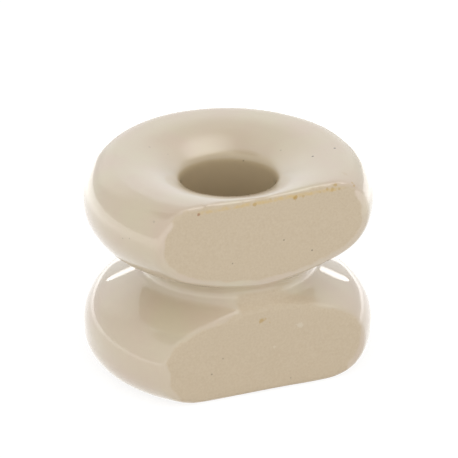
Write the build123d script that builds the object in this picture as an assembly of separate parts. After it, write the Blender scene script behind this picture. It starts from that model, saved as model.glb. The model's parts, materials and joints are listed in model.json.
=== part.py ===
from build123d import *
import math
import os

# Porcelain eyelet: a one-piece glazed spool with a hole along its axis, a groove round
# its waist for the tie, and one flat cut down the side of both flanges.
# Millimetres. +Z runs up the hole, the origin is on its axis halfway between the two
# end faces, and the flats face -Y.

# Driving dimensions
flange_diameter = 45.0
body_height = 33.4
bore_diameter = 14.5
neck_diameter = 26.5
# How far the groove's middle lies below the middle of the body
groove_drop = 0.2
# Round bottom of the groove, and the slope of its flanks from level, in degrees
groove_root_radius = 2.1
flank_angle = 28.0
# Rounding of each rim towards the groove
rim_under_radius = 7.0
# Upright band left round each rim
upper_band = 0.4
lower_band = 1.0
# Rounding of each rim towards its end face: a first curve that turns through the shoulder
# angle and fills the height above the band, then a second one over to the crest
shoulder_angle = 40.0
upper_crest_radius = 4.0
lower_crest_radius = 5.0
# Level ring at the top of each crest, on which the piece stands
crest_land_width = 1.2
# The dished mouth of the hole: a long curve, then a small one into the straight wall
mouth_radius = 15.5
throat_radius = 2.0
# How far the flats stand out from the neck at mid height, how much they lean in
# towards the top, in degrees, and the glaze-soft edge round each
flat_relief = 1.25
flat_lean = 2.0
flat_edge_radius = 1.1

rim = flange_diameter / 2
half_height = body_height / 2
bore = bore_diameter / 2
neck = neck_diameter / 2
flat_distance = neck + flat_relief
slope = math.radians(flank_angle)


def arc(side, radius, level, size, start, end):
    """Arc of a flange's outline about (radius, level), between two directions in degrees."""
    return CenterArc((radius, side * level), size, side * start, side * (end - start))


def line(side, start, end):
    """Straight stretch of a flange's outline between two (radius, level) points."""
    return Line((start[0], side * start[1]), (end[0], side * end[1]))


def under_rim_level(groove_level):
    """Level at which the rounding under a rim meets the rim's upright edge."""
    flank_foot = neck + groove_root_radius - groove_root_radius * math.sin(slope)
    flank_foot_level = groove_level + groove_root_radius * math.cos(slope)
    across = rim - rim_under_radius - flank_foot
    return flank_foot_level + (rim_under_radius + across * math.sin(slope)) / math.cos(slope)


def groove_side(side, groove_level):
    """Outline from the foot of the groove's flank to the rim's upright edge."""
    under_level = under_rim_level(groove_level)
    flank_foot = (
        neck + groove_root_radius * (1 - math.sin(slope)),
        groove_level + groove_root_radius * math.cos(slope),
    )
    flank_head = (
        rim - rim_under_radius * (1 - math.sin(slope)),
        under_level - rim_under_radius * math.cos(slope),
    )
    return [
        line(side, flank_foot, flank_head),
        arc(side, rim - rim_under_radius, under_level, rim_under_radius, flank_angle - 90, 0),
    ]


def shoulder_radius(groove_level, band, crest_radius):
    """Radius of the first curve, which fills the height between the rim's band and its crest."""
    height = half_height - under_rim_level(groove_level) - band - crest_radius
    return crest_radius + height / math.sin(math.radians(shoulder_angle))


def crest_outer(groove_level, band, crest_radius):
    """Radius at which a shoulder reaches its level crest."""
    first_radius = shoulder_radius(groove_level, band, crest_radius)
    step = first_radius - crest_radius
    return rim - first_radius + step * math.cos(math.radians(shoulder_angle))


def throat_place(groove_level, band, crest_radius):
    """Level at which the hole's straight wall ends, and the turn of the mouth's long curve."""
    inner = crest_outer(groove_level, band, crest_radius) - crest_land_width
    across = inner - bore - throat_radius
    reach = mouth_radius - throat_radius
    level = half_height - mouth_radius + math.sqrt(reach**2 - across**2)
    return level, 90 + math.degrees(math.asin(across / reach))


def end_side(side, groove_level, band, crest_radius):
    """Outline from the rim's upright band over the crest into the hole."""
    band_foot = under_rim_level(groove_level)
    band_head = band_foot + band
    first_radius = shoulder_radius(groove_level, band, crest_radius)
    outer = crest_outer(groove_level, band, crest_radius)
    inner = outer - crest_land_width
    throat_level, turn = throat_place(groove_level, band, crest_radius)
    return [
        line(side, (rim, band_foot), (rim, band_head)),
        arc(side, rim - first_radius, band_head, first_radius, 0, shoulder_angle),
        arc(side, outer, half_height - crest_radius, crest_radius, shoulder_angle, 90),
        line(side, (outer, half_height), (inner, half_height)),
        arc(side, inner, half_height - mouth_radius, mouth_radius, 90, turn),
        arc(side, bore + throat_radius, throat_level, throat_radius, turn, 180),
    ]


def spool():
    """The round body, turned from its half section."""
    upper = groove_side(1, -groove_drop) + end_side(1, -groove_drop, upper_band, upper_crest_radius)
    lower = groove_side(-1, groove_drop) + end_side(-1, groove_drop, lower_band, lower_crest_radius)
    root_turn = 180 - 2 * flank_angle
    root_centre = (neck + groove_root_radius, -groove_drop)
    root = CenterArc(root_centre, groove_root_radius, 180 - root_turn / 2, root_turn)
    upper_throat, _ = throat_place(-groove_drop, upper_band, upper_crest_radius)
    lower_throat, _ = throat_place(groove_drop, lower_band, lower_crest_radius)
    wall = Line((bore, upper_throat), (bore, -lower_throat))
    section = make_face(Plane.XZ * Curve([root, wall] + upper + lower))
    return revolve(section, Axis.Z, 360)


def cut_flats(body):
    """Cut the leaning flat down both flanges and soften the edge all round each."""
    waste = Box(
        2 * flange_diameter, flange_diameter, 2 * body_height,
        align=(Align.CENTER, Align.MAX, Align.CENTER),
    )
    body = body - Pos(0, -flat_distance, 0) * Rot(-flat_lean, 0, 0) * waste
    flats = body.faces().filter_by(lambda face: face.is_planar and abs(face.normal_at().Y) > 0.9)
    return fillet(flats.edges(), flat_edge_radius)


os.makedirs("parts", exist_ok=True)
eyelet = cut_flats(spool())
export_step(eyelet, "parts/eyelet_body.step")
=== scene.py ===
import json
import logging
import math
from dataclasses import dataclass
from enum import Enum

import bpy
from mathutils import Matrix, Vector
from mathutils.kdtree import KDTree

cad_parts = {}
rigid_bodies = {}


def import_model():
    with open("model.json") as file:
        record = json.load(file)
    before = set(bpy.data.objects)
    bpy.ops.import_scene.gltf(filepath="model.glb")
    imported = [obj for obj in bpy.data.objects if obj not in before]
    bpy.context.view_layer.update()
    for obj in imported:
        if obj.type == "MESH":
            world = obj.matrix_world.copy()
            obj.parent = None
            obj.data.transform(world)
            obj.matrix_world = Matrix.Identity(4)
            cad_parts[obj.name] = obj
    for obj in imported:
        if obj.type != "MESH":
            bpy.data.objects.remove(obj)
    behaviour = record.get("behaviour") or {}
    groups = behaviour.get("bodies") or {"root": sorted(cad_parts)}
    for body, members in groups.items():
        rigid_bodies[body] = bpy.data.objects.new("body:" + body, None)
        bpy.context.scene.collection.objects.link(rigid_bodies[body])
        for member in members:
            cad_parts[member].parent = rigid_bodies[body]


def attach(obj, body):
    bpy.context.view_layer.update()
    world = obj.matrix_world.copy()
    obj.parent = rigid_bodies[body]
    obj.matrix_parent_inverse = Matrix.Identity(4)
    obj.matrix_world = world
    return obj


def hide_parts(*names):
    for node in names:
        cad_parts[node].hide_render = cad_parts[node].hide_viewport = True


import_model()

MM = 0.001
LOG = logging.getLogger("eyelet")
Colour = tuple[float, float, float]


def linear(red: float, green: float, blue: float) -> Colour:
    """Turn a colour as seen on a screen into the values that a shader works with.

    Args:
        red: Red, from 0 to 255.
        green: Green, from 0 to 255.
        blue: Blue, from 0 to 255.

    Returns:
        The three linear values, from 0 to 1.
    """
    shares = (value / 255 for value in (red, green, blue))
    return tuple(s / 12.92 if s <= 0.04045 else ((s + 0.055) / 1.055) ** 2.4 for s in shares)


def direction(azimuth: float, elevation: float) -> Vector:
    """Give a direction by its angles.

    Args:
        azimuth: Degrees from -Y towards +X.
        elevation: Degrees above level.

    Returns:
        The unit vector.
    """
    turn, climb = math.radians(azimuth), math.radians(elevation)
    return Vector((math.sin(turn) * math.cos(climb), -math.cos(turn) * math.cos(climb), math.sin(climb)))


class Side(Enum):
    """Which end of the body a flange is at."""

    UPPER = 1
    LOWER = -1


class SectionPen:
    """Draws an outline in the plane y = 0 as a chain of short edges, always onwards from its last point."""

    def __init__(self, place: Vector, heading: float) -> None:
        """Start with the single selected point of the mesh in edit mode.

        Args:
            place: Where that point lies.
            heading: Direction of travel, in degrees from +X towards +Z.
        """
        self.place = place
        self.heading = math.radians(heading)

    def ahead(self) -> Vector:
        """Give the direction of travel."""
        return Vector((math.cos(self.heading), 0, math.sin(self.heading)))

    def forward(self, length: float, steps: int = 1) -> None:
        """Draw a straight stretch.

        Args:
            length: Its length in metres.
            steps: How many edges it has.
        """
        step = self.ahead() * (length / steps)
        for _ in range(steps):
            bpy.ops.mesh.extrude_region_move(TRANSFORM_OT_translate={"value": step})
        self.place = self.place + self.ahead() * length

    def bend(self, radius: float, degrees: float, steps: int) -> None:
        """Draw an arc that leaves along the direction of travel.

        Args:
            radius: Its radius in metres.
            degrees: How far it turns, left when positive.
            steps: How many edges it has.
        """
        turn = math.radians(degrees)
        left = Vector((-math.sin(self.heading), 0, math.cos(self.heading)))
        centre = self.place + left * math.copysign(radius, degrees)
        bpy.ops.mesh.spin(steps=steps, angle=turn, center=centre, axis=(0, 1, 0))
        self.place = centre + Matrix.Rotation(-turn, 3, "Y") @ (self.place - centre)
        self.heading += turn


@dataclass(frozen=True)
class Flange:
    """One flange's own sizes, in metres."""

    side: Side
    band: float
    crest_radius: float


@dataclass(frozen=True)
class FlangeOutline:
    """What follows from the sizes for one flange's half of the section."""

    flank: float
    shoulder_radius: float
    mouth_turn: float
    throat_level: float


@dataclass
class EyeletBody:
    """The one-piece body: a turned spool with a flat cut down its side, under a soft glaze."""

    rim: float = 22.5 * MM
    half_height: float = 16.7 * MM
    bore: float = 7.25 * MM
    neck: float = 13.25 * MM
    groove_drop: float = 0.2 * MM
    root_radius: float = 2.1 * MM
    flank_angle: float = 28.0
    under_radius: float = 7.0 * MM
    shoulder_angle: float = 40.0
    crest_land: float = 1.2 * MM
    mouth_radius: float = 15.5 * MM
    throat_radius: float = 2.0 * MM
    flat_distance: float = 14.5 * MM
    flat_lean: float = 2.0
    unevenness: float = 0.1 * MM
    unevenness_size: float = 8.0 * MM
    grid: float = 0.34 * MM
    edge_reach: float = 4.0 * MM
    edge_passes: int = 38
    crisp_share: float = 0.5
    glazed_margin: float = 1.0 * MM
    crisp_margin: float = 0.2 * MM
    inset_name: str = "flat_inset"
    flow_passes: int = 5
    turn_steps: int = 240
    upper: Flange = Flange(Side.UPPER, 0.4 * MM, 4.0 * MM)
    lower: Flange = Flange(Side.LOWER, 1.0 * MM, 5.0 * MM)

    def flat_normal(self) -> Vector:
        """Give the direction in which the flats face."""
        lean = math.radians(self.flat_lean)
        return Vector((0, -math.cos(lean), math.sin(lean)))

    def flat_foot(self) -> Vector:
        """Give the point of the flats' plane that lies level with the origin."""
        return Vector((0, -self.flat_distance, 0))

    def outline(self, flange: Flange) -> FlangeOutline:
        """Work out the lengths, radii and turns that join up one flange's section.

        Args:
            flange: The flange in question.

        Returns:
            The derived sizes.
        """
        slope, turned = math.radians(self.flank_angle), math.radians(self.shoulder_angle)
        foot = self.neck + self.root_radius * (1 - math.sin(slope))
        head = self.rim - self.under_radius * (1 - math.sin(slope))
        flank = (head - foot) / math.cos(slope)
        rim_level = (self.root_radius + self.under_radius) * math.cos(slope) + flank * math.sin(slope)
        rim_level -= flange.side.value * self.groove_drop
        rise = self.half_height - rim_level - flange.band - flange.crest_radius
        shoulder = flange.crest_radius + rise / math.sin(turned)
        crest = self.rim - shoulder + (shoulder - flange.crest_radius) * math.cos(turned)
        across = crest - self.crest_land - self.bore - self.throat_radius
        reach = self.mouth_radius - self.throat_radius
        level = self.half_height - self.mouth_radius + math.sqrt(reach**2 - across**2)
        return FlangeOutline(flank, shoulder, math.degrees(math.asin(across / reach)), level)

    def draw_flange(self, pen: SectionPen, flange: Flange) -> None:
        """Draw one flange's outline, outwards from the groove or, for the lower one, from the hole.

        Args:
            pen: The pen, at the groove's flank or at the end of the hole's straight wall.
            flange: The flange to draw.
        """
        sizes = self.outline(flange)
        strokes = [
            lambda: pen.forward(sizes.flank, 12),
            lambda: pen.bend(self.under_radius, 90 - self.flank_angle, 24),
            lambda: pen.forward(flange.band, 2),
            lambda: pen.bend(sizes.shoulder_radius, self.shoulder_angle, 16),
            lambda: pen.bend(flange.crest_radius, 90 - self.shoulder_angle, 14),
            lambda: pen.forward(self.crest_land, 3),
            lambda: pen.bend(self.mouth_radius, sizes.mouth_turn, 24),
            lambda: pen.bend(self.throat_radius, 90 - sizes.mouth_turn, 12),
        ]
        for stroke in strokes if flange.side is Side.UPPER else reversed(strokes):
            stroke()

    def draw_section(self) -> bpy.types.Object:
        """Draw the closed half section, from the groove's root over the top and back.

        Returns:
            The new object, in edit mode.
        """
        bpy.ops.object.select_all(action="DESELECT")
        bpy.ops.mesh.primitive_plane_add(size=MM)
        body = bpy.context.object
        body.name = body.data.name = "glazed_body"
        bpy.ops.object.mode_set(mode="EDIT")
        bpy.ops.mesh.select_all(action="SELECT")
        bpy.ops.mesh.merge(type="CENTER")
        start = Vector((self.neck, 0, -self.groove_drop))
        bpy.ops.transform.translate(value=start)
        pen = SectionPen(start, 90)
        pen.bend(self.root_radius, self.flank_angle - 90, 8)
        self.draw_flange(pen, self.upper)
        wall = self.outline(self.upper).throat_level + self.outline(self.lower).throat_level
        pen.forward(wall, 60)
        self.draw_flange(pen, self.lower)
        pen.bend(self.root_radius, self.flank_angle - 90, 8)
        LOG.info("half section closes within %.5f mm", (pen.place - start).length / MM)
        return body

    def turn(self) -> bpy.types.Object:
        """Turn the half section about the hole's axis.

        Returns:
            The spool, still without its flats.
        """
        body = self.draw_section()
        bpy.ops.mesh.select_all(action="SELECT")
        bpy.ops.mesh.remove_doubles(threshold=MM / 1000)
        bpy.ops.mesh.spin(steps=self.turn_steps, angle=math.tau, center=(0, 0, 0), axis=(0, 0, 1))
        bpy.ops.mesh.select_all(action="SELECT")
        bpy.ops.mesh.remove_doubles(threshold=MM / 1000)
        bpy.ops.mesh.normals_make_consistent(inside=False)
        bpy.ops.object.mode_set(mode="OBJECT")
        return body

    def make_uneven(self, body: bpy.types.Object) -> None:
        """Press the surface in a little here and there, as on a hand-finished casting.

        Args:
            body: The turned spool.
        """
        swell = bpy.data.textures.new("unevenness", "CLOUDS")
        swell.noise_scale = self.unevenness_size
        swell.noise_depth = 1
        dents = body.modifiers.new("unevenness", "DISPLACE")
        dents.texture = swell
        dents.mid_level = 1.0
        dents.strength = self.unevenness
        self.apply(body, dents)

    def cut_flats(self, body: bpy.types.Object) -> KDTree:
        """Cut the leaning flat down both flanges.

        Args:
            body: The uneven spool.

        Returns:
            The points along the edges of the flats, for finding what lies near them.
        """
        bpy.ops.object.mode_set(mode="EDIT")
        bpy.ops.mesh.select_all(action="SELECT")
        bpy.ops.mesh.bisect(
            plane_co=self.flat_foot(), plane_no=self.flat_normal(), use_fill=True, clear_outer=True
        )
        bpy.ops.object.mode_set(mode="OBJECT")
        flats = [p for p in body.data.polygons if p.normal.dot(self.flat_normal()) > 0.9999]
        corners = {index for flat in flats for index in flat.vertices}
        edge_points = KDTree(len(corners))
        for index in corners:
            edge_points.insert(body.data.vertices[index].co, index)
        edge_points.balance()
        LOG.info("flats: %d faces with %d corners", len(flats), len(corners))
        return edge_points

    def soften_edges(self, body: bpy.types.Object, edge_points: KDTree) -> None:
        """Even out the mesh and round the edges of the flats as the glaze does.

        The straight edges at the very top and bottom stay crisper than the curved ones. How far
        in from the glaze each point of the flats lies is kept with the mesh.

        Args:
            body: The cut spool.
            edge_points: The points along the edges of the flats.
        """
        remesh = body.modifiers.new("even_grid", "REMESH")
        remesh.mode = "VOXEL"
        remesh.voxel_size = self.grid
        self.apply(body, remesh)
        near = body.vertex_groups.new(name="flat_edges")
        insets = []
        for vertex in body.data.vertices:
            distance = edge_points.find(vertex.co)[2]
            crisp = self.crispness(vertex.co)
            if distance < self.edge_reach:
                share = 1 - (distance / self.edge_reach) ** 2
                near.add([vertex.index], share * (1 - crisp * (1 - self.crisp_share)), "REPLACE")
            behind = (self.flat_foot() - vertex.co).dot(self.flat_normal())
            inside = distance if behind < self.grid / 2 else -distance
            insets.append(inside - self.glazed_margin * (1 - crisp) - self.crisp_margin * crisp)
        inset = body.data.attributes.new(self.inset_name, "FLOAT", "POINT")
        inset.data.foreach_set("value", insets)
        self.flow(body, self.edge_passes, near.name)
        self.flow(body, self.flow_passes)

    def crispness(self, place: Vector) -> float:
        """Tell how crisp an edge of the flats is.

        Args:
            place: A point near the edge.

        Returns:
            1 at the body's ends and where the lower flat meets the groove, and 0 elsewhere.
        """
        at_end = (abs(place.z) - self.half_height) / MM + 2.5
        at_groove = (place.z / MM + 10.5) / 2 if place.z < 0 else 0.0
        return min(max(at_end, at_groove, 0.0), 1.0)

    def flow(self, body: bpy.types.Object, passes: int, group: str = "") -> None:
        """Let the surface flow smooth.

        Args:
            body: The body.
            passes: How often each point moves halfway to the mean of its neighbours.
            group: The vertex group that limits it, if any.
        """
        smooth = body.modifiers.new("flow", "SMOOTH")
        smooth.vertex_group = group
        smooth.factor = 0.5
        smooth.iterations = passes
        self.apply(body, smooth)

    def apply(self, body: bpy.types.Object, modifier: bpy.types.Modifier) -> None:
        """Apply a modifier to the body."""
        bpy.context.view_layer.objects.active = body
        bpy.ops.object.modifier_apply(modifier=modifier.name)

    def build(self) -> bpy.types.Object:
        """Model the whole body.

        Returns:
            The finished body, with its place in its mesh.
        """
        body = self.turn()
        self.make_uneven(body)
        edge_points = self.cut_flats(body)
        self.soften_edges(body, edge_points)
        bpy.ops.object.select_all(action="DESELECT")
        body.select_set(True)
        bpy.ops.object.shade_smooth()
        return body


class Graph:
    """Adds nodes to a shader's tree and links them."""

    def __init__(self, tree: bpy.types.NodeTree) -> None:
        """Work on a tree.

        Args:
            tree: The material's or group's node tree.
        """
        self.tree = tree

    def node(self, kind: str, inputs: dict | None = None, **settings: object) -> bpy.types.Node:
        """Add a node.

        Args:
            kind: The node's type name.
            inputs: Values or output sockets, by input name or number.
            **settings: The node's own settings.

        Returns:
            The new node.
        """
        made = self.tree.nodes.new(kind)
        for name, value in settings.items():
            setattr(made, name, value)
        for key, value in (inputs or {}).items():
            if isinstance(value, bpy.types.NodeSocket):
                self.tree.links.new(value, made.inputs[key])
            else:
                made.inputs[key].default_value = value
        return made

    def math(self, operation: str, *values: object, clamp: bool = False) -> bpy.types.NodeSocket:
        """Combine numbers with a Math node and give its output."""
        inputs = dict(enumerate(values))
        return self.node("ShaderNodeMath", inputs, operation=operation, use_clamp=clamp).outputs[0]

    def dot(self, first: object, second: object) -> bpy.types.NodeSocket:
        """Take the dot product of two vectors and give its output."""
        made = self.node("ShaderNodeVectorMath", {0: first, 1: second}, operation="DOT_PRODUCT")
        return made.outputs["Value"]

    def group(self, tree: bpy.types.NodeTree, inputs: dict) -> bpy.types.NodeSocket:
        """Place a node group and give its output."""
        made = self.tree.nodes.new("ShaderNodeGroup")
        made.node_tree = tree
        for key, value in inputs.items():
            if isinstance(value, bpy.types.NodeSocket):
                self.tree.links.new(value, made.inputs[key])
            else:
                made.inputs[key].default_value = value
        return made.outputs[0]

    def ramp(self, value: object, low: float, high: float, start: float = 0.0, end: float = 1.0) -> bpy.types.NodeSocket:
        """Map a number smoothly from one range to another.

        Args:
            value: The number's socket.
            low: Where the change begins.
            high: Where it ends.
            start: The result at and before low.
            end: The result at and after high.

        Returns:
            The mapped number's socket.
        """
        inputs = {"Value": value, "From Min": low, "From Max": high, "To Min": start, "To Max": end}
        settings = {"interpolation_type": "SMOOTHSTEP"}
        return self.node("ShaderNodeMapRange", inputs, **settings).outputs[0]

    def blend(self, share: object, first: object, second: object) -> bpy.types.NodeSocket:
        """Mix two numbers by a share and give the result."""
        return self.node("ShaderNodeMix", {0: share, 2: first, 3: second}, data_type="FLOAT").outputs[0]

    def mix(self, share: object, first: object, second: object) -> bpy.types.NodeSocket:
        """Mix two colours by a share and give the result."""
        made = self.node("ShaderNodeMix", data_type="RGBA")
        for key, value in ((0, share), (6, first), (7, second)):
            if isinstance(value, bpy.types.NodeSocket):
                self.tree.links.new(value, made.inputs[key])
            else:
                made.inputs[key].default_value = value if key == 0 else (*value, 1.0)
        return made.outputs[2]


class Groups:
    """The shader node groups that the finish uses again and again."""

    def __init__(self) -> None:
        """Build both groups."""
        self.spot = self.spot_group()
        self.mottle = self.mottle_group()

    def new_group(self, name: str, inputs: dict[str, str]) -> tuple[bpy.types.NodeTree, bpy.types.Node]:
        """Start a group with named inputs and one output called Mask.

        Args:
            name: The group's name.
            inputs: Each input's socket type, by name.

        Returns:
            The group's tree and its input node.
        """
        tree = bpy.data.node_groups.new(name, "ShaderNodeTree")
        for label, kind in inputs.items():
            tree.interface.new_socket(label, in_out="INPUT", socket_type=kind)
        tree.interface.new_socket("Mask", in_out="OUTPUT", socket_type="NodeSocketFloat")
        return tree, tree.nodes.new("NodeGroupInput")

    def finish_group(self, tree: bpy.types.NodeTree, mask: bpy.types.NodeSocket) -> bpy.types.NodeTree:
        """Lead a mask to the group's output and give back the group."""
        tree.links.new(mask, tree.nodes.new("NodeGroupOutput").inputs["Mask"])
        return tree

    def spot_group(self) -> bpy.types.NodeTree:
        """Build the group for one ragged round spot.

        Returns:
            A group whose mask is 1 in the middle of the spot and 0 outside it.
        """
        kinds = {"Place": "NodeSocketVector", "Centre": "NodeSocketVector", "Radius": "NodeSocketFloat"}
        kinds |= {"Raggedness": "NodeSocketFloat", "Strength": "NodeSocketFloat"}
        tree, given = self.new_group("spot", kinds)
        graph = Graph(tree)
        away = graph.node(
            "ShaderNodeVectorMath", {0: given.outputs["Place"], 1: given.outputs["Centre"]}, operation="DISTANCE"
        ).outputs["Value"]
        rough = graph.node("ShaderNodeTexNoise", {"Vector": given.outputs["Place"], "Scale": 2200.0, "Detail": 2.0})
        wobble = graph.math("MULTIPLY", graph.math("SUBTRACT", rough.outputs[0], 0.5), given.outputs["Raggedness"])
        share = graph.math("ADD", graph.math("DIVIDE", away, given.outputs["Radius"]), wobble)
        mask = graph.math("MULTIPLY", graph.ramp(share, 1.25, 0.55), given.outputs["Strength"])
        return self.finish_group(tree, mask)

    def mottle_group(self) -> bpy.types.NodeTree:
        """Build the group for soft cloudy patches.

        Returns:
            A group whose mask drifts between 0 and 1.
        """
        kinds = {"Place": "NodeSocketVector", "Size": "NodeSocketFloat", "Sharpness": "NodeSocketFloat"}
        tree, given = self.new_group("mottle", kinds)
        graph = Graph(tree)
        scale = graph.math("DIVIDE", 1.0, given.outputs["Size"])
        noise = graph.node("ShaderNodeTexNoise", {"Vector": given.outputs["Place"], "Scale": scale, "Detail": 3.0})
        swing = graph.math("MULTIPLY", graph.math("SUBTRACT", noise.outputs[0], 0.5), given.outputs["Sharpness"])
        return self.finish_group(tree, graph.math("ADD", swing, 0.5, clamp=True))


class StainOrHighlight(Enum):
    """What a mark on the surface is: a real speck or stain, or a painted highlight."""

    SPECK = "dark speck in the glaze"
    OCHRE = "yellow-brown stain"
    RUST = "red-brown dot"
    # Painted highlight: pale spots that stand in for small glints of light on the lower flat.
    PALE = "pale fleck"


@dataclass(frozen=True)
class Mark:
    """One mark on the surface: its place and radius in millimetres, and how strong it is."""

    # What the mark is: a real speck or stain, or a painted highlight.
    stain: StainOrHighlight
    x: float
    y: float
    z: float
    radius: float
    strength: float = 1.0
    raggedness: float = 0.6


SPECKS = (
    Mark(StainOrHighlight.SPECK, 12.7, -3.3, 16.3, 0.19, 0.9),
    Mark(StainOrHighlight.SPECK, 16.7, -2.6, 16.7, 0.2, 1.0),
    Mark(StainOrHighlight.SPECK, 4.8, 5.5, 13.0, 0.18, 0.5),
    Mark(StainOrHighlight.SPECK, 3.3, -14.2, 8.7, 0.15, 0.65),
    Mark(StainOrHighlight.SPECK, 8.0, -14.3, 6.1, 0.15, 0.65),
    Mark(StainOrHighlight.SPECK, -5.2, -14.3, 6.3, 0.13, 0.45),
    Mark(StainOrHighlight.SPECK, -9.4, 9.2, 16.3, 0.2, 0.25),
    Mark(StainOrHighlight.SPECK, -7.0, 7.5, 15.4, 0.16, 0.25),
    Mark(StainOrHighlight.SPECK, 9.8, 2.5, 15.3, 0.16, 0.3),
    Mark(StainOrHighlight.SPECK, -20.3, -9.6, 11.2, 0.14, 0.35),
    Mark(StainOrHighlight.SPECK, -20.9, -8.3, 10.7, 0.14, 0.35),
    Mark(StainOrHighlight.SPECK, -17.3, -12.2, 14.7, 0.2, 0.2),
    Mark(StainOrHighlight.SPECK, -8.8, -14.9, -11.8, 0.16, 0.45),
    Mark(StainOrHighlight.SPECK, -6.9, -14.8, -9.5, 0.13, 0.35),
    Mark(StainOrHighlight.SPECK, 4.4, -15.0, -15.0, 0.13, 0.4),
)
STAINS_AND_HIGHLIGHTS = (
    Mark(StainOrHighlight.RUST, -10.7, -14.0, 15.5, 0.26, 0.7, 1.2),
    Mark(StainOrHighlight.RUST, 5.2, -14.0, 15.4, 0.13, 0.5),
    Mark(StainOrHighlight.OCHRE, -1.5, -14.0, 15.5, 0.32, 0.6, 2.2),
    Mark(StainOrHighlight.OCHRE, 1.2, -13.7, 15.8, 0.3, 0.35, 2.2),
    Mark(StainOrHighlight.OCHRE, 5.2, -14.0, 15.4, 0.38, 0.85, 2.0),
    Mark(StainOrHighlight.OCHRE, 6.6, -14.0, 15.4, 0.22, 0.45, 2.0),
    Mark(StainOrHighlight.OCHRE, 9.4, -13.9, 15.6, 0.25, 0.35, 2.2),
    Mark(StainOrHighlight.OCHRE, 10.6, -13.9, 15.9, 0.25, 0.45, 2.2),
    Mark(StainOrHighlight.OCHRE, 11.4, -13.8, 15.7, 0.3, 0.45, 2.2),
    Mark(StainOrHighlight.OCHRE, 12.0, -13.6, 16.2, 0.3, 0.6, 2.2),
    Mark(StainOrHighlight.OCHRE, 12.6, -13.8, 15.6, 0.26, 0.5, 2.2),
    Mark(StainOrHighlight.OCHRE, 15.0, -13.2, 15.9, 0.25, 0.45, 2.2),
    Mark(StainOrHighlight.OCHRE, 15.2, -13.6, 15.5, 0.25, 0.55, 2.2),
    Mark(StainOrHighlight.OCHRE, 14.7, -11.2, 16.6, 0.5, 0.15, 3.0),
    Mark(StainOrHighlight.OCHRE, -0.5, -14.6, -4.2, 0.42, 0.6, 2.6),
    Mark(StainOrHighlight.OCHRE, 0.2, -14.6, -4.0, 0.2, 0.35, 2.2),
    Mark(StainOrHighlight.OCHRE, 0.9, -14.7, -4.8, 0.2, 0.3, 2.4),
    # Painted highlights: pale spots on the lower flat that stand in for small glints of light.
    Mark(StainOrHighlight.PALE, 5.9, -14.7, -6.2, 0.5, 0.35, 2.0),
    Mark(StainOrHighlight.PALE, 1.7, -14.8, -9.1, 0.3, 0.3, 1.6),
)


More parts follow.
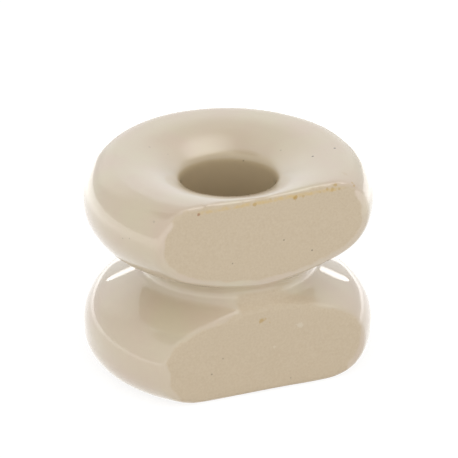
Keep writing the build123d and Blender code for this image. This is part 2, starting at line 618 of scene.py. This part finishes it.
@dataclass(frozen=True)
class Glaze:
    """Cream glaze over the whole body, dull on the flats, with its specks and stains, and pale spots that are
    painted highlights standing in for small glints of light.
    """

    cream: Colour = linear(200, 187, 160)
    pink: Colour = linear(199, 180, 158)
    flat: Colour = linear(202, 186, 161)
    flat_dark: Colour = linear(194, 176, 149)
    hole: Colour = linear(194, 176, 144)
    speck: Colour = linear(70, 62, 52)
    warm: Colour = linear(203, 178, 130)
    ochre: Colour = linear(178, 144, 76)
    rust: Colour = linear(150, 96, 60)
    # Colour of the painted highlights, pale spots that stand in for glints of light.
    painted_highlight: Colour = linear(222, 214, 198)
    body_roughness: float = 0.38
    gloss: float = 0.03
    flat_roughness: float = 0.55

    def build(self, body: EyeletBody) -> bpy.types.Material:
        """Make the material.

        Args:
            body: The body it is for, whose flats and hole it has to find.

        Returns:
            The material.
        """
        groups = Groups()
        material = bpy.data.materials.new("glaze")
        material.use_nodes = True
        graph = Graph(material.node_tree)
        place = graph.node("ShaderNodeTexCoord").outputs["Object"]
        on_flat = self.flat_mask(graph, place, body)
        clouds = graph.group(groups.mottle, {"Place": place, "Size": 8 * MM, "Sharpness": 3.0})
        grain = graph.group(groups.mottle, {"Place": place, "Size": 0.35 * MM, "Sharpness": 2.0})
        colour = graph.mix(clouds, self.cream, self.pink)
        colour = graph.mix(self.hole_mask(graph, place, body), colour, self.hole)
        colour = graph.mix(on_flat, colour, graph.mix(grain, self.flat, self.flat_dark))
        colour = graph.mix(self.edge_stain(graph, place, groups), colour, self.warm)
        # The painted highlight colour stands in for glints of light; the other shades are real specks and stains.
        shades = {StainOrHighlight.OCHRE: self.ochre, StainOrHighlight.RUST: self.rust, StainOrHighlight.PALE: self.painted_highlight, StainOrHighlight.SPECK: self.speck}
        for stain, shade in shades.items():
            marks = [mark for mark in STAINS_AND_HIGHLIGHTS + SPECKS if mark.stain is stain]
            colour = graph.mix(self.marks_mask(graph, place, groups, marks), colour, shade)
        ripple = graph.node("ShaderNodeTexNoise", {"Vector": place, "Scale": 260.0, "Detail": 1.0})
        glazed_bump = graph.math("MULTIPLY", ripple.outputs[0], 0.012 * MM)
        flat_bump = graph.math("MULTIPLY", grain, 0.012 * MM)
        height = graph.blend(on_flat, glazed_bump, flat_bump)
        bump = graph.node("ShaderNodeBump", {"Height": height, "Distance": 1.0})
        rough = graph.ramp(on_flat, 0.0, 1.0, self.body_roughness, self.flat_roughness)
        shader = material.node_tree.nodes["Principled BSDF"]
        shader.inputs["Coat Roughness"].default_value = self.gloss
        sockets = {
            "Base Color": colour,
            "Roughness": rough,
            "Coat Weight": graph.math("SUBTRACT", 1.0, on_flat),
            "Normal": bump.outputs[0],
        }
        for name, socket in sockets.items():
            material.node_tree.links.new(socket, shader.inputs[name])
        return material

    def flat_mask(self, graph: Graph, place: bpy.types.NodeSocket, body: EyeletBody) -> bpy.types.NodeSocket:
        """Find the dull part of the flats, with a wavering edge.

        Args:
            graph: The material's graph.
            place: The point's socket.
            body: The body whose flats are meant.

        Returns:
            A socket that is 1 on the flats and 0 away from them.
        """
        inset = graph.node("ShaderNodeAttribute", attribute_name=body.inset_name).outputs["Fac"]
        waver = graph.node("ShaderNodeTexNoise", {"Vector": place, "Scale": 500.0, "Detail": 2.0})
        shift = graph.math("MULTIPLY", graph.math("SUBTRACT", waver.outputs[0], 0.5), 1.2 * MM)
        dull = graph.ramp(graph.math("ADD", inset, shift), -0.15 * MM, 0.2 * MM)
        return graph.math("MAXIMUM", dull, self.neck_mask(graph, place, body))

    def neck_mask(self, graph: Graph, place: bpy.types.NodeSocket, body: EyeletBody) -> bpy.types.NodeSocket:
        """Find the front of the neck, which is as dull as the lower flat that it runs into.

        Args:
            graph: The material's graph.
            place: The point's socket.
            body: The body whose neck is meant.

        Returns:
            A socket that is 1 on the front of the neck and 0 away from it.
        """
        parts = graph.node("ShaderNodeSeparateXYZ", {0: place}).outputs
        plane = body.flat_foot().dot(body.flat_normal())
        behind = graph.math("SUBTRACT", plane, graph.dot(place, body.flat_normal()))
        near = graph.ramp(behind, 2.2 * MM, 1.4 * MM)
        below = graph.ramp(parts["Z"], 0.6 * MM, -0.4 * MM)
        left = graph.ramp(parts["X"], -4.4 * MM, -3.4 * MM)
        right = graph.ramp(parts["X"], 11.0 * MM, 7.0 * MM)
        return graph.math("MULTIPLY", graph.math("MULTIPLY", near, below), graph.math("MULTIPLY", left, right))

    def hole_mask(self, graph: Graph, place: bpy.types.NodeSocket, body: EyeletBody) -> bpy.types.NodeSocket:
        """Find the wall of the hole, which is coloured a little darker and yellower than the rest.

        Args:
            graph: The material's graph.
            place: The point's socket.
            body: The body whose hole is meant.

        Returns:
            A socket that is 1 in the hole and 0 outside it.
        """
        across = graph.node("ShaderNodeVectorMath", {0: place, 1: (1, 1, 0)}, operation="MULTIPLY").outputs[0]
        radius = graph.node("ShaderNodeVectorMath", {0: across}, operation="LENGTH").outputs["Value"]
        return graph.ramp(radius, body.bore + 1.5 * MM, body.bore + 0.1 * MM)

    def edge_stain(self, graph: Graph, place: bpy.types.NodeSocket, groups: Groups) -> bpy.types.NodeSocket:
        """Find the thin ragged stain along the upper flat's top edge.

        Args:
            graph: The material's graph.
            place: The point's socket.
            groups: The shared node groups.

        Returns:
            The stain's mask.
        """
        parts = graph.node("ShaderNodeSeparateXYZ", {0: place}).outputs
        above = graph.math("ABSOLUTE", graph.math("SUBTRACT", parts["Z"], 15.65 * MM))
        line = graph.ramp(above, 0.5 * MM, 0.05 * MM)
        front = graph.ramp(parts["Y"], -13.2 * MM, -13.6 * MM)
        left = graph.ramp(parts["X"], -11.5 * MM, -10.0 * MM)
        right = graph.ramp(parts["X"], 14.0 * MM, 12.0 * MM)
        ragged = graph.group(groups.mottle, {"Place": place, "Size": 0.9 * MM, "Sharpness": 2.5})
        mask = graph.math("MULTIPLY", graph.math("MULTIPLY", line, front), graph.math("MULTIPLY", left, right))
        return graph.math("MULTIPLY", graph.math("MULTIPLY", mask, ragged), 1.1, clamp=True)

    def marks_mask(
        self, graph: Graph, place: bpy.types.NodeSocket, groups: Groups, marks: list[Mark]
    ) -> bpy.types.NodeSocket:
        """Join the spots of one kind of mark.

        Args:
            graph: The material's graph.
            place: The point's socket.
            groups: The shared node groups.
            marks: The marks to join.

        Returns:
            The mask of all of them.
        """
        joined = None
        for mark in marks:
            inputs = {
                "Place": place,
                "Centre": Vector((mark.x, mark.y, mark.z)) * MM,
                "Radius": mark.radius * MM,
                "Raggedness": mark.raggedness,
                "Strength": mark.strength,
            }
            spot = graph.group(groups.spot, inputs)
            joined = spot if joined is None else graph.math("MAXIMUM", joined, spot)
        return joined


@dataclass(frozen=True)
class Lamp:
    """A small softbox with a grid, which lights one place on the body.

    Its bearing is counted from the camera, to the right when positive, and the angles are in
    degrees. Its brightness is that of its face seen straight on, where 1 is white.
    """

    name: str
    aim: Vector
    bearing: float
    elevation: float
    distance: float
    width: float
    height: float
    spread: float
    brightness: float

    def build(self, camera_azimuth: float) -> None:
        """Add the lamp to the scene.

        Args:
            camera_azimuth: The camera's own azimuth, in degrees.
        """
        half = math.radians(self.spread / 2)
        data = bpy.data.lights.new(self.name, "AREA")
        data.shape = "RECTANGLE"
        data.size = self.width
        data.size_y = self.height
        data.spread = 2 * half
        data.energy = self.brightness * math.pi * self.width * self.height * (1 - half / math.tan(half))
        lamp = bpy.data.objects.new(self.name, data)
        towards = direction(camera_azimuth + self.bearing, self.elevation)
        lamp.location = self.aim + towards * self.distance
        lamp.rotation_euler = towards.to_track_quat("Z", "Y").to_euler()
        bpy.context.scene.collection.objects.link(lamp)


@dataclass(frozen=True)
class Glow:
    """A round patch of the surround that the glaze mirrors brighter, or darker when negative.

    Its bearing is counted from the camera, and the angles are in degrees.
    """

    bearing: float
    elevation: float
    radius: float
    softness: float
    gain: float


@dataclass
class Studio:
    """The white floor, the lamps and the camera."""

    floor_level: float = -16.7 * MM
    azimuth: float = -22.72
    elevation: float = 26.81
    distance: float = 0.9251
    lens: float = 468.4
    roll: float = 0.38
    aim_up: float = 4.107 * MM
    aim_right: float = 0.148 * MM
    front_light: float = 1.25
    rear_light: float = 0.55
    mirrored_light: float = 1.0
    near_floor_mirrored: float = 1.1
    far_floor_mirrored: float = 2.0
    near_floor: float = 0.07
    far_floor: float = 0.13
    glows: tuple[Glow, ...] = (
        Glow(180.0, 22.0, 16.0, 10.0, 0.4),
        Glow(-143.0, 30.0, 14.0, 10.0, 0.5),
        Glow(143.0, 32.0, 14.0, 10.0, 0.3),
        Glow(100.0, 66.0, 20.0, 12.0, 2.1),
        Glow(175.0, 76.0, 14.0, 8.0, -0.5),
        Glow(-66.0, 64.0, 17.0, 4.0, -0.9),
    )
    lamps: tuple[Lamp, ...] = (
        Lamp("rear_left_box", Vector((-14.1, 7.0, -2.8)) * MM, -156.5, 14.0, 0.11, 0.011, 0.014, 12.0, 5.0),
        Lamp("rear_right_box", Vector((14.8, -5.4, -2.8)) * MM, 157.5, 13.0, 0.11, 0.011, 0.014, 12.0, 5.0),
    )

    def floor(self) -> None:
        """Lay the white floor that catches the body's shadow."""
        bpy.ops.object.select_all(action="DESELECT")
        bpy.ops.mesh.primitive_circle_add(
            vertices=96, radius=1.5, fill_type="NGON", location=(0, 0, self.floor_level)
        )
        floor = bpy.context.object
        floor.name = "floor"
        bpy.ops.object.transform_apply(location=True)
        material = bpy.data.materials.new("white_floor")
        material.use_nodes = True
        tree = material.node_tree
        tree.nodes.remove(tree.nodes["Principled BSDF"])
        graph = Graph(tree)
        rays = graph.node("ShaderNodeLightPath").outputs
        bounce = graph.node("ShaderNodeBsdfDiffuse", {"Color": (0.8, 0.8, 0.8, 1)}).outputs[0]
        shadow = graph.node("ShaderNodeBsdfDiffuse", {"Color": (0.25, 0.25, 0.25, 1)}).outputs[0]
        place = graph.node("ShaderNodeTexCoord").outputs["Object"]
        away = graph.node("ShaderNodeVectorMath", {0: place}, operation="LENGTH").outputs["Value"]
        mirrored = graph.ramp(
            away, self.near_floor, self.far_floor, self.near_floor_mirrored, self.far_floor_mirrored
        )
        strength = graph.blend(rays["Is Glossy Ray"], 0.84, mirrored)
        glow = graph.node("ShaderNodeEmission", {"Strength": strength}).outputs[0]
        lit = graph.node("ShaderNodeAddShader", {0: shadow, 1: glow}).outputs[0]
        seen = graph.math("MAXIMUM", rays["Is Camera Ray"], rays["Is Glossy Ray"])
        mixed = graph.node("ShaderNodeMixShader", {0: seen, 1: bounce, 2: lit}).outputs[0]
        tree.links.new(mixed, tree.nodes["Material Output"].inputs["Surface"])
        floor.data.materials.append(material)

    def world(self) -> None:
        """Surround the scene with white that is brighter in front, with the glows in it."""
        world = bpy.data.worlds.new("surround")
        world.use_nodes = True
        bpy.context.scene.world = world
        graph = Graph(world.node_tree)
        rays = graph.node("ShaderNodeLightPath").outputs
        towards = graph.node("ShaderNodeTexCoord").outputs["Generated"]
        frontness = graph.dot(towards, direction(self.azimuth, 0))
        given = graph.ramp(frontness, -1.0, 1.0, self.rear_light, self.front_light)
        mirrored = self.mirrored_light
        for glow in self.glows:
            facing = graph.dot(towards, direction(self.azimuth + glow.bearing, glow.elevation))
            outer = math.cos(math.radians(glow.radius + glow.softness))
            inner = math.cos(math.radians(glow.radius - glow.softness))
            mirrored = graph.math("ADD", graph.ramp(facing, outer, inner, 0.0, glow.gain), mirrored)
        lit = graph.blend(rays["Is Glossy Ray"], given, mirrored)
        strength = graph.blend(rays["Is Camera Ray"], lit, 1.0)
        background = world.node_tree.nodes["Background"]
        background.inputs["Color"].default_value = (1, 1, 1, 1)
        world.node_tree.links.new(strength, background.inputs["Strength"])

    def camera(self) -> None:
        """Set up the camera at the photograph's viewing angle."""
        back = direction(self.azimuth, self.elevation)
        right = direction(self.azimuth + 90, 0)
        target = back.cross(right) * self.aim_up + right * self.aim_right
        place = back * self.distance
        turned = (place - target).to_track_quat("Z", "Y").to_matrix()
        turned = turned @ Matrix.Rotation(math.radians(self.roll), 3, "Z")
        data = bpy.data.cameras.new("camera")
        data.lens = self.lens
        data.sensor_width = 36.0
        data.clip_start = 0.01
        camera = bpy.data.objects.new("camera", data)
        camera.matrix_world = Matrix.Translation(place) @ turned.to_4x4()
        bpy.context.scene.collection.objects.link(camera)
        bpy.context.scene.camera = camera

    def build(self) -> None:
        """Set up the floor, the surround, the lamps and the camera."""
        self.floor()
        self.world()
        for lamp in self.lamps:
            lamp.build(self.azimuth)
        self.camera()
        bpy.context.scene.view_settings.view_transform = "Standard"


def corners(box: tuple) -> list[list[float]]:
    """Turn a box's two corners into plain lists of numbers."""
    return [[float(value) for value in corner] for corner in box]


def main() -> None:
    """Build the body and the studio."""
    logging.basicConfig(level=logging.INFO, format="%(name)s: %(message)s")
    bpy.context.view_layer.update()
    form = EyeletBody()
    body = form.build()
    body.data.materials.append(Glaze().build(form))
    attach(body, "root")
    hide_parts("eyelet_body")
    LOG.info("glazed body: %d faces", len(body.data.polygons))
    Studio().build()
    LOG.info("studio: white floor, lamps and camera")


if __name__ == "__main__":
    main()
